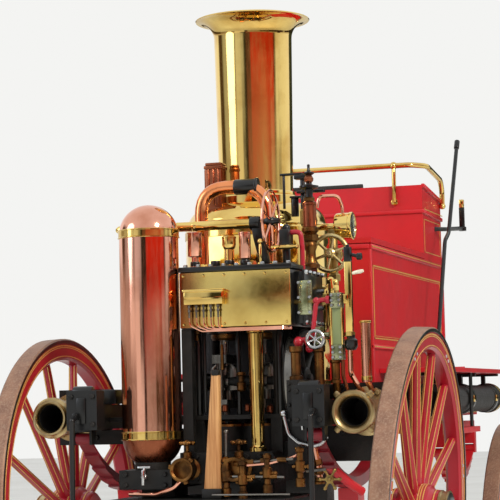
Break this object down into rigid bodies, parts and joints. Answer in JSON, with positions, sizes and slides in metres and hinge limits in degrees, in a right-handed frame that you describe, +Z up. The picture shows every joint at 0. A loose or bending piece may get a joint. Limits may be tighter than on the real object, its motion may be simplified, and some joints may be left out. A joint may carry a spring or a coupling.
{
  "type": "steam fire engine",
  "caption": "Horse-drawn steam fire engine: vertical boiler with tall brass funnel, rear steam pump and copper air vessel, red hose box, driver's seat and spoked wheels.",
  "frame": {"origin": "on the ground under the middle of the part's bounding box", "axes": "+X to the vehicle's right, +Y forward towards the driver's seat and the front axle, +Z up"},
  "size_m": [1.5412, 3.37, 2.514],
  "materials": {
    "red": "bright red coach paint, glossy",
    "brass": "polished brass",
    "copper": "polished copper",
    "iron": "black enamel on cast iron",
    "steel": "bright machined steel",
    "wood": "varnished hardwood",
    "leather": "black leather"
  },
  "bodies": {
    "carriage": {"frame_rails": "red", "rear_axle": "red", "rear_springs": "red", "hose_box": "red", "seat_box": "red", "footboards": "red", "linkage_rods": "red", "boiler_cladding": "brass", "boiler_cover": "brass", "funnel": "brass", "cylinder_lagging": "brass", "lubricators": "brass", "rear_handrail": "brass", "ram_column": "brass", "suction_inlet_left": "brass", "suction_inlet_right": "brass", "delivery_valves": "brass", "feed_wheel": "brass", "pressure_gauge": "brass", "seat_handrail": "brass", "exhaust_pipe": "copper", "air_vessel": "copper", "copper_pipes": "copper", "boiler_shell": "iron", "ash_pan": "iron", "steam_cylinders": "iron", "engine_frame": "iron", "flywheel": "iron", "pump_body": "iron", "safety_valve_stand": "iron", "regulator_wheel": "iron", "water_gauge": "iron", "brake_lever": "iron", "motion_rods": "steel", "wooden_post": "wood", "seat_cushion": "leather", "suction_hoses": "leather"},
    "fore_carriage": {"fore_carriage": "red", "front_axle": "red"},
    "rear_wheel_left": {"wheel_rear_left": "red"},
    "rear_wheel_right": {"wheel_rear_right": "red"},
    "front_wheel_left": {"wheel_front_left": "red"},
    "front_wheel_right": {"wheel_front_right": "red"},
    "lid": {"hose_box_lid": "red"},
    "fire_door": {"fire_door": "iron"}
  },
  "joints": [
    {"name": "rear_left_wheel", "type": "hinge", "parent": "carriage", "child": "rear_wheel_left", "pos_m": [-0.658, -1.025, 0.66087], "axis": [0.9988, 0, 0.0489], "continuous": true},
    {"name": "rear_right_wheel", "type": "hinge", "parent": "carriage", "child": "rear_wheel_right", "pos_m": [0.658, -1.025, 0.66087], "axis": [0.9988, 0, -0.0489], "continuous": true},
    {"name": "front_left_wheel", "type": "hinge", "parent": "fore_carriage", "child": "front_wheel_left", "pos_m": [-0.59, 1.125, 0.47609], "axis": [0.9988, 0, 0.0489], "continuous": true},
    {"name": "front_right_wheel", "type": "hinge", "parent": "fore_carriage", "child": "front_wheel_right", "pos_m": [0.59, 1.125, 0.47609], "axis": [0.9988, 0, -0.0489], "continuous": true},
    {"name": "steering", "type": "hinge", "parent": "carriage", "child": "fore_carriage", "pos_m": [0, 1.125, 0.96], "axis": [0, 0, 1], "range_deg": [-45, 45]},
    {"name": "hose_box_lid", "type": "hinge", "parent": "carriage", "child": "lid", "pos_m": [0, 0.565, 1.702], "axis": [-1, 0, 0], "range_deg": [0, 80]},
    {"name": "fire_door", "type": "hinge", "parent": "carriage", "child": "fire_door", "pos_m": [-0.154, -0.433, 0.74], "axis": [0, 0, 1], "range_deg": [0, 110]}
  ]
}
